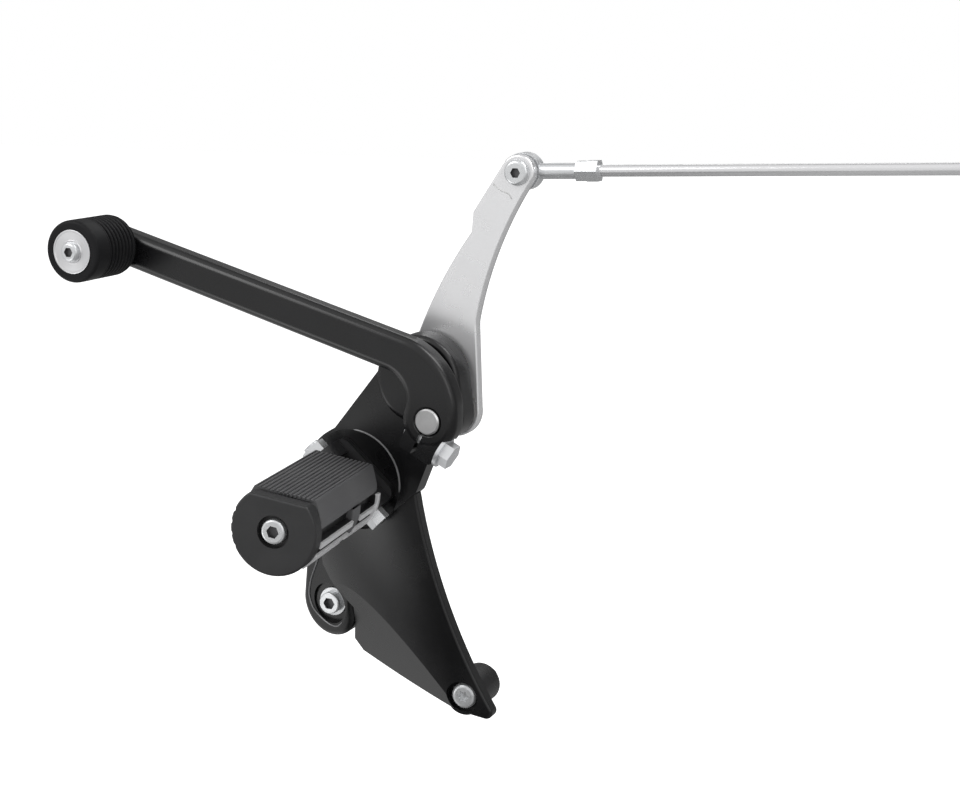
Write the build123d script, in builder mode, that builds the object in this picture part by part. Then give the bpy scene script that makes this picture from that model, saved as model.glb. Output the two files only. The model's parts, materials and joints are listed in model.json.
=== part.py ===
from build123d import *
from math import cos, radians, sin
import os

# Left-hand forward control of a motorcycle. A cast bracket on two frame screws carries a folding
# footpeg and the shift shaft. The lever in front turns the arm behind, which pulls a long rod.
# Millimetres, as the motorcycle stands: X to its rear, Z up, -Y away from the frame. The origin is
# the rear frame screw's hole at the bracket's seat, and "out" is the distance from that seat.

os.makedirs("parts", exist_ok=True)

# Clearances
RUN = 0.05  # radial, between a shaft and what turns on it
FIT = 0.02  # radial, between clamped or pressed pieces
SLIP = 0.3  # between faces that move past each other
HOLE_GAP = 0.3  # radial, round a mounting screw

# Frame screws
SCREW_R = 4.0
THREAD_R = 3.6
THREAD_L = 14.0
REAR_SEAT = 22.0
REAR_HEAD_R = 7.75
REAR_HEAD_T = 4.6
REAR_BOSS_R = 11.6
FRONT_X = -94.5
FRONT_Z = 38.5
FRONT_FLOOR = 5.0
FRONT_HEAD_R = 6.5
FRONT_HEAD_T = 5.0
FRONT_WASHER_R = 8.5
FRONT_WASHER_T = 1.6

# Swept wing of the bracket: a shallow crown that leans along its length, cut by one flat facet
WING_OUT = 35.5
WING_T = 7.0
CROWN_R = 125.0
CREST_X = -48.0
CREST_Z = 121.0
WING_LEAN = 22.3
WING_TILT = 3.0
HEEL_X = 22.0
HEEL_Z = -12.5
SHOULDER_X = -25.8
SHOULDER_Z = 118.0
SHOULDER_R = 5.0
TOE_CORNER_X = -76.0
TOE_CORNER_Z = 9.5
FACET_AT = (-40.7, -28.4, 33.0)
FACET_FACING = (-0.43, -0.99, -0.41)
RIM_FILLET = 1.5

# Front lobe: a rounded boss with a sloping face, sunk round its screw
LOBE_R = 20.3
LOBE_RISE = 36.0
LOBE_EDGE_R = 4.5
LOBE_FACE_AT = (-96.7, -12.4, 63.9)
LOBE_FACING = (-0.303, -0.949, -0.091)
POCKET_R = 12.6
LOBE_OUT = 30.0

# Shift shaft, its bushes and washers
PIVOT_X = -7.0
PIVOT_Z = 166.0
SHAFT_R = 7.15
BUSH_WALL = 2.0
BUSH_FLANGE_T = 1.2
BUSH_FLANGE_R = 11.5
THRUST_T = 1.4
THRUST_R = 11.5
BOSS_W = 16.2
BOSS_R = 13.5
LOBE_BACK_R = 25.0
LOBE_BACK_X = -14.0
LOBE_BACK_Z = 19.0
NECK_OUT = 36.0

# Shift lever
LEVER_IN = 44.0
LEVER_W = 13.0
SHAFT_PROUD = 1.0
BORE_CHAMFER = 1.3
HUB_R = 16.2
HOOK_R = 42.7
HOOK_ANGLE = -9.0
CROOK_R = 15.8
CROOK_ANGLE = 159.8
BAR_FALL = 15.5
TOE_X = -199.0
TOE_Z = 86.7
TOE_BOSS_R = 10.0
LEVER_EDGE_R = 4.5
LEVER_BACK_R = 2.5
SPLIT_ANGLE = -117.0
SPLIT_W = 2.2
LUG_REACH = 21.5
LUG_FRONT = 12.5
LUG_BACK = 9.5
PINCH_AT = 12.3
PINCH_R = 3.9
PINCH_FLANGE_R = 9.3
PINCH_FLANGE_T = 1.8
PINCH_AF = 13.0
PINCH_HEAD_T = 5.7

# Toe peg on the lever
TOE_CORE_R = 8.0
TOE_COLLAR_R = 10.0
TOE_COLLAR_T = 2.0
TOE_RUBBER_R = 17.5
TOE_RUBBER_L = 37.0
TOE_RING_COUNT = 7
TOE_RING_PITCH = 3.2
TOE_RING_DEEP = 1.7
TOE_CAP_R = 12.3
TOE_CAP_T = 4.4
TOE_CAP_DEEP = 4.0
TOE_SCREW_R = 3.0
TOE_HEAD_R = 5.5
TOE_HEAD_T = 3.0
TOE_SOCKET_AF = 5.0

# Linkage arm behind the bracket
ARM_T = 5.5
ARM_HUB_R = 15.0
EYE_X = 37.5
EYE_Z = 132.6
EYE_R = 9.5
ARM_SHIN = (13.4, 50.0)
ARM_CALF = (24.8, 88.7)
ARM_SHOULDER = (11.4, 110.5)
ARM_NOTCH = (10.4, 99.6)
ARM_BELLY = (-8.4, 70.5)
ARM_HEEL = (-22.0, 42.3)
ARM_EDGE_R = 1.2
ARM_WASHER_R = 10.0
ARM_WASHER_T = 1.6
ARM_SCREW_R = 3.0
ARM_SCREW_L = 12.0
ARM_HEAD_R = 5.2
ARM_HEAD_T = 3.4

# Stud, rod and rod ends
STUD_R = 4.0
STUD_HEAD_R = 7.0
STUD_HEAD_T = 3.2
STUD_SOCKET_AF = 5.0
STUD_NUT_AF = 13.0
STUD_NUT_T = 6.5
ROD_R = 3.175
ROD_L = 300.0
ROD_RISE = 2.05
ROD_THREAD_R = 2.9
RING_R = 10.2
RING_W = 7.8
BALL_R = 7.2
BALL_W = 10.0
RACE_GAP = 0.08
SHANK_R = 4.3
SHANK_L = 30.5
FLATS_AF = 10.5
FLATS_L = 6.3
JAM_AF = 11.0
JAM_T = 6.2

# Footpeg mount: the clevis and its pin, on a round pad
PIN_X = -63.0
PIN_Z = 123.0
PIN_OUT = 46.0
PEG_SWEEP = 7.0
FOLD_LEAN = 45.0
PIN_R = 4.75
PIN_TO_PAD = 15.5
PAD_R = 31.0
PAD_T = 12.0
SPOT_R = 29.5
CLEVIS_BASE_T = 5.5
CLEVIS_W = 28.0
EAR_GAP = 27.0
EAR_T = 9.0
EAR_R = 10.5
STEM_R = 6.0
STEM_NUT_AF = 18.0
STEM_NUT_T = 8.0
LOCK_WASHER_T = 2.5
PIN_HEAD_AF = 11.0
PIN_HEAD_T = 6.5
PIN_NUT_AF = 13.0
PIN_NUT_T = 6.0
SPRING_WASHER_T = 1.3

# Footpeg
PEG_ROLL = 10.0
PEG_L = 103.0
FLANGE_AT = 11.0
FLANGE_T = 4.0
FLANGE_R = 24.6
FIN_TIP_R = 24.4
BARREL_R = 19.5
FIN_COUNT = 10
FIN_PITCH = 18.0
FIN_T = 3.2
TONGUE_R = 9.2
PAD_SEAT = 4.0
PAD_TOP = 19.0
PAD_TOP_W = 34.6
PAD_SIDE_W = 43.8
PAD_SIDE_Z = 7.7
RIB_COUNT = 14
RIB_PITCH = 2.45
RIB_DEEP = 0.9
RIB_GROOVE = 0.9
STRAP_AT = 38.0
STRAP_W = 11.5
STRAP_R = 23.4
STRAP_FLOOR_R = 18.8
CAP_T = 8.0
CAP_R = 23.6
CAP_FLAT = 17.5
CAP_NOTCHES = 4
CAP_NOTCH_R = 1.7
CAP_NOTCH_FROM = 164.0
CAP_NOTCH_PITCH = 16.0
CAP_RECESS_R = 8.75
CAP_RECESS_DEEP = 4.0
END_SCREW_R = 4.0
END_SCREW_L = 24.0
END_HEAD_R = 6.5
END_HEAD_T = 4.5
END_SOCKET_AF = 6.0

# Levels that follow from the stack on the shift shaft, all measured out from the seat
LEVER_OUT = LEVER_IN + LEVER_W
SHAFT_OUT = LEVER_OUT + SHAFT_PROUD
BOSS_OUT = LEVER_IN - THRUST_T - SLIP - BUSH_FLANGE_T
BOSS_IN = BOSS_OUT - BOSS_W
ARM_OUT = BOSS_IN - BUSH_FLANGE_T - SLIP - THRUST_T
ARM_IN = ARM_OUT - ARM_T
ROD_OUT = ARM_IN - BALL_W / 2
BUSH_R = SHAFT_R + BUSH_WALL


def side(x, z, out):
    """Plane that faces away from the frame, with its origin at x and z."""
    return Plane(origin=(x, -out, z), x_dir=(1, 0, 0), z_dir=(0, -1, 0))


def pivot(out):
    """Side plane on the shift shaft's axis."""
    return side(PIVOT_X, PIVOT_Z, out)


def polar(x, z, radius, angle):
    """Point on a circle, with the angle in degrees."""
    return (x + radius * cos(radians(angle)), z + radius * sin(radians(angle)))


def post(plane, radius, length, mode=Mode.ADD):
    """Cylinder that stands on a plane, added to the part in hand or cut from it."""
    with Locations(plane):
        Cylinder(radius, length, align=(Align.CENTER, Align.CENTER, Align.MIN), mode=mode)


def hexagon(plane, across, length, mode=Mode.ADD):
    """Hexagonal prism that stands on a plane, sized across its flats."""
    with BuildSketch(plane) as six:
        RegularPolygon(across / 2, 6, major_radius=False)
    extrude(six.sketch, amount=length, mode=mode)


def star(plane, radius, depth):
    """Six-lobed socket sunk into a screw head from a plane."""
    with BuildSketch(plane) as lobes:
        Circle(radius)
        with PolarLocations(radius, 6):
            Circle(radius * 0.34)
    extrude(lobes.sketch, amount=-depth, mode=Mode.SUBTRACT)


def dome(face_plane, radius, height, rounding):
    """Low screw head with a rounded rim, standing on a plane."""
    with BuildPart() as head:
        post(face_plane, radius, height)
        rim = head.faces().sort_by(Axis(face_plane.origin, face_plane.z_dir))[-1]
        fillet(rim.edges(), rounding)
    add(head.part)


# Frame screws and the front one's washer
with BuildPart() as rear_frame_screw:
    post(side(0, 0, 0), SCREW_R, REAR_SEAT)
    post(side(0, 0, -THREAD_L), THREAD_R, THREAD_L)
    dome(side(0, 0, REAR_SEAT), REAR_HEAD_R, REAR_HEAD_T, REAR_HEAD_T * 0.6)
    star(side(0, 0, REAR_SEAT + REAR_HEAD_T), REAR_HEAD_R * 0.33, REAR_HEAD_T * 0.6)

FRONT_HEAD_AT = FRONT_FLOOR + FRONT_WASHER_T
with BuildPart() as front_frame_screw:
    post(side(FRONT_X, FRONT_Z, 0), SCREW_R, FRONT_HEAD_AT)
    post(side(FRONT_X, FRONT_Z, -THREAD_L), THREAD_R, THREAD_L)
    dome(side(FRONT_X, FRONT_Z, FRONT_HEAD_AT), FRONT_HEAD_R, FRONT_HEAD_T, 0.8)
    hexagon(side(FRONT_X, FRONT_Z, FRONT_HEAD_AT + FRONT_HEAD_T), FRONT_HEAD_R, -FRONT_HEAD_T * 0.6,
            mode=Mode.SUBTRACT)

with BuildPart() as front_screw_washer:
    post(side(FRONT_X, FRONT_Z, FRONT_FLOOR), FRONT_WASHER_R, FRONT_WASHER_T)
    post(side(FRONT_X, FRONT_Z, FRONT_FLOOR), SCREW_R + FIT, FRONT_WASHER_T, mode=Mode.SUBTRACT)

# Planes of the footpeg: its axis, the same plane rolled with the pad, and the fold pin's own plane
peg_axis = Plane(
    origin=(PIN_X, -PIN_OUT, PIN_Z),
    x_dir=(cos(radians(PEG_SWEEP)), sin(radians(PEG_SWEEP)), 0),
    z_dir=(sin(radians(PEG_SWEEP)), -cos(radians(PEG_SWEEP)), 0),
)
roll_dir = peg_axis.x_dir * cos(radians(PEG_ROLL)) - peg_axis.y_dir * sin(radians(PEG_ROLL))
peg_roll = Plane(origin=peg_axis.origin, x_dir=roll_dir, z_dir=peg_axis.z_dir)
fold_dir = peg_axis.y_dir * sin(radians(FOLD_LEAN)) - peg_axis.x_dir * cos(radians(FOLD_LEAN))
hinge = Plane(origin=peg_axis.origin, x_dir=peg_axis.z_dir, z_dir=fold_dir)

# The wing is a thick skin: one crowned, faceted form less a smaller one that runs out behind it
lean, tilt = radians(WING_LEAN), radians(WING_TILT)
crown = Plane(
    origin=(CREST_X, -WING_OUT, CREST_Z),
    x_dir=(cos(lean), 0, sin(lean)),
    z_dir=(sin(lean) * cos(tilt), sin(tilt), -cos(lean) * cos(tilt)),
)
facet = Plane(origin=FACET_AT, z_dir=FACET_FACING)
CROWN_BACK = 45.0
CROWN_RUN = 230.0
FORM_DEPTH = SHAFT_OUT + 2

with BuildPart() as wing_skin:
    with BuildSketch(crown.offset(-CROWN_BACK)):
        with Locations((0, -CROWN_R)):
            Circle(CROWN_R)
    extrude(amount=CROWN_RUN)
    with BuildSketch(side(0, 0, 0)):
        with BuildLine():
            rear = ThreePointArc((SHOULDER_X, SHOULDER_Z), (-8.8, 52.0), (HEEL_X, HEEL_Z))
            under = ThreePointArc(rear @ 1, (-26.0, -3.8), (TOE_CORNER_X, TOE_CORNER_Z))
            Polyline(under @ 1, (FRONT_X + 13, FRONT_Z - 22), (FRONT_X + 17.5, FRONT_Z - 8), (FRONT_X + 19.2, FRONT_Z + 1.8),
                     (FRONT_X + 10.8, FRONT_Z + 8.6), (FRONT_X + 3.2, FRONT_Z + 16.3), (FRONT_X - 2.2, FRONT_Z + 25.4),
                     (FRONT_X + 3, CREST_Z - 9), (PIN_X - 9, PIN_Z + 11), (SHOULDER_X - 16, SHOULDER_Z + 12), rear @ 0)
        make_face()
        fillet(vertices().sort_by(Axis.X)[-1], 4.0)
    extrude(amount=FORM_DEPTH, mode=Mode.INTERSECT)
    split(bisect_by=facet, keep=Keep.BOTTOM)
    crown_face = wing_skin.faces().filter_by(GeomType.CYLINDER).sort_by(SortBy.AREA)[-1]
    fillet(crown_face.edges().filter_by(GeomType.BSPLINE), RIM_FILLET)

with BuildPart() as wing_hollow:
    with BuildSketch(crown.offset(-CROWN_BACK)):
        with Locations((0, -CROWN_R)):
            Circle(CROWN_R - WING_T)
    extrude(amount=CROWN_RUN)
    with BuildSketch(side(0, 0, -1)):
        with BuildLine():
            Polyline((TOE_CORNER_X - 2, TOE_CORNER_Z + WING_T), (HEEL_X - 30, HEEL_Z + 2 * WING_T),
                     (HEEL_X - 18, -PIVOT_Z), (PIVOT_Z, -PIVOT_Z), (PIVOT_Z, PIVOT_Z), (-PIVOT_Z, PIVOT_Z),
                     (-PIVOT_Z, TOE_CORNER_Z + WING_T), close=True)
        make_face()
    extrude(amount=FORM_DEPTH, mode=Mode.INTERSECT)
    split(bisect_by=facet.offset(-WING_T), keep=Keep.BOTTOM)

lobe_face = Plane(origin=LOBE_FACE_AT, z_dir=LOBE_FACING)
with BuildPart() as front_lobe:
    with BuildSketch(side(FRONT_X, FRONT_Z, -2 * LOBE_EDGE_R)):
        with Locations((-1.5, -1)):
            Circle(LOBE_R)
        with Locations((2, LOBE_RISE)):
            Circle(LOBE_R * 0.85)
        make_hull()
    extrude(amount=FORM_DEPTH)
    split(bisect_by=lobe_face, keep=Keep.BOTTOM)
    fillet(front_lobe.faces().sort_by(Axis(LOBE_FACE_AT, LOBE_FACING))[-1].edges(), LOBE_EDGE_R)
    split(bisect_by=side(0, 0, 0), keep=Keep.TOP)

with BuildPart() as shaft_boss:
    with BuildSketch(pivot(BOSS_IN)):
        Circle(BOSS_R)
        with Locations((LOBE_BACK_X, LOBE_BACK_Z)):
            Circle(LOBE_BACK_R)
        make_hull()
    extrude(amount=BOSS_W)
    fillet(shaft_boss.faces().sort_by(Axis.Y)[0].edges(), 2 * RIM_FILLET)

with BuildPart() as mount_bracket:
    add(wing_skin.part)
    add(wing_hollow.part, mode=Mode.SUBTRACT)
    add(front_lobe.part)
    # Pad of the footpeg
    post(peg_axis.offset(-PIN_TO_PAD - PAD_T), PAD_R, PAD_T)
    # Neck from the pad up to the shaft boss
    with BuildSketch(pivot(BOSS_IN)):
        with Locations((LOBE_BACK_X, LOBE_BACK_Z)):
            Circle(LOBE_BACK_R * 0.88)
        with Locations((PIN_X - PIVOT_X, PIN_Z - PIVOT_Z)):
            Circle(PAD_R * 0.9)
        with Locations((SHOULDER_X - PIVOT_X - SHOULDER_R / 2, SHOULDER_Z - PIVOT_Z + SHOULDER_R)):
            Circle(SHOULDER_R)
        make_hull()
    extrude(amount=NECK_OUT - BOSS_IN)
    add(shaft_boss.part)
    # Rear boss under its screw recess
    post(side(0, 0, 0), REAR_BOSS_R, REAR_SEAT + 3)
    # Spot face round the clevis
    post(peg_axis.offset(-PIN_TO_PAD), SPOT_R, 60, mode=Mode.SUBTRACT)
    # Recesses and holes of the frame screws
    post(side(0, 0, REAR_SEAT), REAR_BOSS_R - 2, 20, mode=Mode.SUBTRACT)
    post(side(0, 0, -1), SCREW_R + HOLE_GAP, FORM_DEPTH, mode=Mode.SUBTRACT)
    post(side(FRONT_X, FRONT_Z, FRONT_FLOOR), POCKET_R, LOBE_OUT, mode=Mode.SUBTRACT)
    post(side(FRONT_X, FRONT_Z, -1), SCREW_R + HOLE_GAP, FORM_DEPTH, mode=Mode.SUBTRACT)
    # Holes for the bushes and the clevis stem
    post(pivot(0), BUSH_R + FIT, FORM_DEPTH, mode=Mode.SUBTRACT)
    post(peg_axis.offset(-60), STEM_R + FIT, 60, mode=Mode.SUBTRACT)
    # Room behind the pad for the stem's nut
    post(peg_axis.offset(-PIN_TO_PAD - PAD_T - 30), STEM_NUT_AF * 0.75, 30, mode=Mode.SUBTRACT)

# Bushes in the shaft boss
with BuildPart() as pivot_bush_outer:
    post(pivot(BOSS_OUT), BUSH_FLANGE_R, BUSH_FLANGE_T)
    post(pivot(BOSS_OUT - BOSS_W * 0.45), BUSH_R, BOSS_W * 0.45)
    post(pivot(0), SHAFT_R + RUN, FORM_DEPTH, mode=Mode.SUBTRACT)

with BuildPart() as pivot_bush_inner:
    post(pivot(BOSS_IN - BUSH_FLANGE_T), BUSH_FLANGE_R, BUSH_FLANGE_T)
    post(pivot(BOSS_IN), BUSH_R, BOSS_W * 0.45)
    post(pivot(0), SHAFT_R + RUN, FORM_DEPTH, mode=Mode.SUBTRACT)

# Clevis: a base on the pad, two ears with a square stop below, and a stem through the bracket
EAR_IN = EAR_GAP / 2
EAR_OUT = EAR_IN + EAR_T
with BuildPart() as peg_clevis:
    with BuildSketch(peg_axis.offset(-PIN_TO_PAD)):
        RectangleRounded(2 * EAR_OUT, CLEVIS_W, 6, rotation=-FOLD_LEAN)
    extrude(amount=CLEVIS_BASE_T)
    with BuildSketch(hinge.offset(EAR_IN), hinge.offset(-EAR_OUT)) as ear:
        Circle(EAR_R)
        with Locations((CLEVIS_BASE_T / 2 - PIN_TO_PAD, 0)):
            Rectangle(CLEVIS_BASE_T, CLEVIS_W - 8)
        make_hull()
        with Locations((FLANGE_AT - SLIP, -EAR_R)):
            Rectangle(EAR_R, EAR_R * 0.8, align=(Align.MAX, Align.MIN))
    extrude(amount=EAR_T)
    post(hinge.offset(-EAR_OUT - 1), PIN_R + FIT, 2 * EAR_OUT + 2, mode=Mode.SUBTRACT)
    post(peg_axis.offset(-PIN_TO_PAD - PAD_T - LOCK_WASHER_T - STEM_NUT_T - 1), STEM_R,
         PAD_T + LOCK_WASHER_T + STEM_NUT_T + 1)

with BuildPart() as clevis_lock_washer:
    post(peg_axis.offset(-PIN_TO_PAD - PAD_T - LOCK_WASHER_T), STEM_R * 1.75, LOCK_WASHER_T)
    post(peg_axis.offset(-PIN_TO_PAD - PAD_T - LOCK_WASHER_T), STEM_R + FIT, LOCK_WASHER_T, mode=Mode.SUBTRACT)

with BuildPart() as clevis_nut:
    hexagon(peg_axis.offset(-PIN_TO_PAD - PAD_T - LOCK_WASHER_T - STEM_NUT_T), STEM_NUT_AF, STEM_NUT_T)
    post(peg_axis.offset(-60), STEM_R + FIT, 60, mode=Mode.SUBTRACT)

# Fold pin with its head below, its nut above and the washer that takes up the play
with BuildPart() as peg_pin:
    post(hinge.offset(-EAR_OUT), PIN_R, 2 * EAR_OUT + PIN_NUT_T + 1.5)
    chamfer(peg_pin.faces().sort_by(Axis(hinge.origin, fold_dir))[-1].edges(), 0.8)
    hexagon(hinge.offset(-EAR_OUT), PIN_HEAD_AF, -PIN_HEAD_T)

with BuildPart() as peg_pin_nut:
    hexagon(hinge.offset(EAR_OUT), PIN_NUT_AF, PIN_NUT_T)
    post(hinge.offset(EAR_OUT), PIN_R + FIT, PIN_NUT_T, mode=Mode.SUBTRACT)

with BuildPart() as peg_spring_washer:
    post(hinge.offset(EAR_IN - SPRING_WASHER_T), TONGUE_R - 0.5, SPRING_WASHER_T)
    post(hinge.offset(EAR_IN - SPRING_WASHER_T), PIN_R + FIT, SPRING_WASHER_T, mode=Mode.SUBTRACT)

# Footpeg core: finned barrel with a flat for the pad, an end flange and the tongue on the pin
CORE_END = PEG_L - CAP_T
with BuildPart() as peg_core:
    with BuildSketch(peg_roll.offset(FLANGE_AT)):
        Circle(BARREL_R)
        with PolarLocations(0, FIN_COUNT, -90 - FIN_PITCH * (FIN_COUNT - 1) / 2, FIN_PITCH * FIN_COUNT):
            Rectangle(FIN_TIP_R, FIN_T, align=(Align.MIN, Align.CENTER))
        with Locations((0, PAD_SEAT)):
            Rectangle(3 * FIN_TIP_R, FIN_TIP_R, align=(Align.CENTER, Align.MIN), mode=Mode.SUBTRACT)
    extrude(amount=CORE_END - FLANGE_AT)
    post(peg_roll.offset(CORE_END - END_SCREW_L), END_SCREW_R + FIT, END_SCREW_L, mode=Mode.SUBTRACT)
    with BuildSketch(peg_roll.offset(STRAP_AT)):
        Circle(2 * FIN_TIP_R)
        Circle(STRAP_FLOOR_R, mode=Mode.SUBTRACT)
        with Locations((0, PAD_SEAT)):
            Rectangle(5 * FIN_TIP_R, 3 * FIN_TIP_R, align=(Align.CENTER, Align.MIN), mode=Mode.SUBTRACT)
    extrude(amount=STRAP_W, mode=Mode.SUBTRACT)
    with BuildSketch(peg_roll.offset(FLANGE_AT)):
        Circle(FLANGE_R)
        with Locations((0, PAD_SEAT)):
            Rectangle(3 * FLANGE_R, 2 * FLANGE_R, align=(Align.CENTER, Align.MIN), mode=Mode.SUBTRACT)
    extrude(amount=FLANGE_T)
    with BuildSketch(hinge.offset(SLIP - EAR_IN)):
        Circle(TONGUE_R)
        Rectangle(FLANGE_AT, 2 * TONGUE_R, align=(Align.MIN, Align.CENTER))
    extrude(amount=EAR_GAP - 2 * SLIP - SPRING_WASHER_T)
    post(hinge.offset(-EAR_IN), PIN_R + RUN, EAR_GAP, mode=Mode.SUBTRACT)

# Ribbed rubber pad on the core's flat
with BuildPart() as peg_rubber:
    with BuildSketch(peg_roll.offset(FLANGE_AT)):
        with BuildLine():
            right = Polyline((0, PAD_TOP), (PAD_TOP_W / 2, PAD_TOP), (PAD_SIDE_W / 2, PAD_SIDE_Z),
                             (PAD_SIDE_W / 2, PAD_SEAT), (0, PAD_SEAT))
            mirror(right, about=Plane.YZ)
        make_face()
        fillet(vertices().group_by(Axis.Y)[-1], 1.5)
        with Locations((0, PAD_TOP)):
            with GridLocations(RIB_PITCH, 0, RIB_COUNT, 1):
                Rectangle(RIB_GROOVE, 2 * RIB_DEEP, mode=Mode.SUBTRACT)
    extrude(amount=CORE_END - FLANGE_AT)
    # Strap that holds the pad on, in the groove round the barrel
    with BuildSketch(peg_roll.offset(STRAP_AT)):
        Circle(STRAP_R)
        Circle(STRAP_FLOOR_R, mode=Mode.SUBTRACT)
        with Locations((0, PAD_SEAT + 1)):
            Rectangle(3 * STRAP_R, 3 * STRAP_R, align=(Align.CENTER, Align.MIN), mode=Mode.SUBTRACT)
    extrude(amount=STRAP_W)

# End cap with a flat top, and its screw
with BuildPart() as peg_end_cap:
    with BuildSketch(peg_roll.offset(CORE_END)):
        Circle(CAP_R)
        with Locations((0, CAP_FLAT)):
            Rectangle(3 * CAP_R, CAP_R, align=(Align.CENTER, Align.MIN), mode=Mode.SUBTRACT)
        fillet(vertices(), 2.5)
    extrude(amount=CAP_T)
    fillet(peg_end_cap.faces().sort_by(Axis(peg_roll.origin, peg_roll.z_dir))[-1].edges(), 1.2)
    with BuildSketch(peg_roll.offset(CORE_END)):
        with PolarLocations(CAP_R + CAP_NOTCH_R / 2, CAP_NOTCHES, CAP_NOTCH_FROM, CAP_NOTCH_PITCH * CAP_NOTCHES):
            Circle(CAP_NOTCH_R)
    extrude(amount=CAP_T, mode=Mode.SUBTRACT)
    post(peg_roll.offset(PEG_L - CAP_RECESS_DEEP), CAP_RECESS_R, CAP_RECESS_DEEP, mode=Mode.SUBTRACT)
    post(peg_roll.offset(CORE_END), END_SCREW_R + FIT, CAP_T, mode=Mode.SUBTRACT)

with BuildPart() as peg_end_screw:
    END_HEAD_AT = PEG_L - CAP_RECESS_DEEP
    post(peg_roll.offset(CORE_END - END_SCREW_L + 2), END_SCREW_R, END_HEAD_AT - CORE_END + END_SCREW_L - 2)
    dome(peg_roll.offset(END_HEAD_AT), END_HEAD_R, END_HEAD_T, 1.2)
    hexagon(peg_roll.offset(END_HEAD_AT + END_HEAD_T), END_SOCKET_AF, -END_HEAD_T * 0.6, mode=Mode.SUBTRACT)

# Shift lever: the bar's edges run tangent into the hook, and the hook into the clamp hub
hook = polar(0, 0, HOOK_R - HUB_R, HOOK_ANGLE + 180)
crook = polar(0, 0, HUB_R + CROOK_R, CROOK_ANGLE)
with BuildPart() as shift_lever:
    with BuildSketch(pivot(LEVER_IN)):
        with BuildLine():
            upper = Line(polar(TOE_X, TOE_Z, TOE_BOSS_R, 90 - BAR_FALL), polar(*hook, HOOK_R, 90 - BAR_FALL))
            outer = ThreePointArc(upper @ 1, polar(*hook, HOOK_R, 35), polar(*hook, HOOK_R, HOOK_ANGLE))
            hub = ThreePointArc(outer @ 1, polar(0, 0, HUB_R, -100), polar(0, 0, HUB_R, CROOK_ANGLE))
            inner = ThreePointArc(hub @ 1, polar(*crook, CROOK_R, 30), polar(*crook, CROOK_R, 90 - BAR_FALL))
            lower = Line(inner @ 1, polar(TOE_X, TOE_Z, TOE_BOSS_R, 270 - BAR_FALL))
            ThreePointArc(lower @ 1, polar(TOE_X, TOE_Z, TOE_BOSS_R, 180 - BAR_FALL), upper @ 0)
        make_face()
    extrude(amount=LEVER_W)
    fillet(shift_lever.faces().sort_by(Axis.Y)[0].edges(), LEVER_EDGE_R)
    fillet(shift_lever.faces().sort_by(Axis.Y)[-1].edges(), LEVER_BACK_R)
    # Clamp lug, its slot and its bolt hole
    with BuildSketch(pivot(LEVER_IN + 0.5)):
        with Locations(polar(0, 0, (LUG_FRONT - LUG_BACK) / 2, SPLIT_ANGLE + 90)):
            RectangleRounded(LUG_REACH, LUG_FRONT + LUG_BACK, 3, rotation=SPLIT_ANGLE, align=(Align.MIN, Align.CENTER))
    extrude(amount=LEVER_W - 1)
    post(pivot(LEVER_IN - 1), SHAFT_R + FIT, LEVER_W + 2, mode=Mode.SUBTRACT)
    with BuildSketch(pivot(LEVER_IN - 1)):
        Rectangle(LUG_REACH + 2, SPLIT_W, rotation=SPLIT_ANGLE, align=(Align.MIN, Align.CENTER))
    extrude(amount=LEVER_W + 2, mode=Mode.SUBTRACT)
    post(side(PIVOT_X + TOE_X, PIVOT_Z + TOE_Z, LEVER_IN - 1), TOE_SCREW_R + FIT, LEVER_W + 2, mode=Mode.SUBTRACT)

    pinch_x, pinch_z = polar(PIVOT_X, PIVOT_Z, PINCH_AT, SPLIT_ANGLE)
    across_x, across_z = polar(0, 0, 1, SPLIT_ANGLE + 90)
    pinch = Plane(origin=(pinch_x, -LEVER_IN - LEVER_W / 2, pinch_z), x_dir=(0, -1, 0), z_dir=(across_x, 0, across_z))
    with Locations(pivot(LEVER_OUT - BORE_CHAMFER)):
        Cone(SHAFT_R + FIT, SHAFT_R + FIT + BORE_CHAMFER, BORE_CHAMFER,
             align=(Align.CENTER, Align.CENTER, Align.MIN), mode=Mode.SUBTRACT)
    post(pinch.offset(-2 * LUG_BACK), PINCH_R + FIT, 2 * LUG_BACK + LUG_FRONT, mode=Mode.SUBTRACT)
    post(pinch.offset(LUG_FRONT), PINCH_FLANGE_R + SLIP, 2 * LUG_FRONT, mode=Mode.SUBTRACT)

with BuildPart() as lever_pinch_bolt:
    post(pinch.offset(-LUG_BACK - 1), PINCH_R, LUG_BACK + 1 + LUG_FRONT)
    post(pinch.offset(LUG_FRONT), PINCH_FLANGE_R, PINCH_FLANGE_T)
    hexagon(pinch.offset(LUG_FRONT + PINCH_FLANGE_T), PINCH_AF, PINCH_HEAD_T)

# Shift shaft with a washer on each side of the bracket's boss
with BuildPart() as shift_shaft:
    post(pivot(ARM_IN + 0.1), SHAFT_R, SHAFT_OUT - ARM_IN - 0.1)
    chamfer(shift_shaft.faces().sort_by(Axis.Y)[0].edges(), 0.8)
    post(pivot(ARM_IN), ARM_SCREW_R + FIT, ARM_SCREW_L + 2, mode=Mode.SUBTRACT)

with BuildPart() as thrust_washer_outer:
    post(pivot(LEVER_IN - THRUST_T), THRUST_R, THRUST_T)
    post(pivot(LEVER_IN - THRUST_T), SHAFT_R + FIT, THRUST_T, mode=Mode.SUBTRACT)

with BuildPart() as thrust_washer_inner:
    post(pivot(ARM_OUT), THRUST_R, THRUST_T)
    post(pivot(ARM_OUT), SHAFT_R + FIT, THRUST_T, mode=Mode.SUBTRACT)


def toe(out):
    """Side plane on the toe peg's axis."""
    return side(PIVOT_X + TOE_X, PIVOT_Z + TOE_Z, out)


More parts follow.
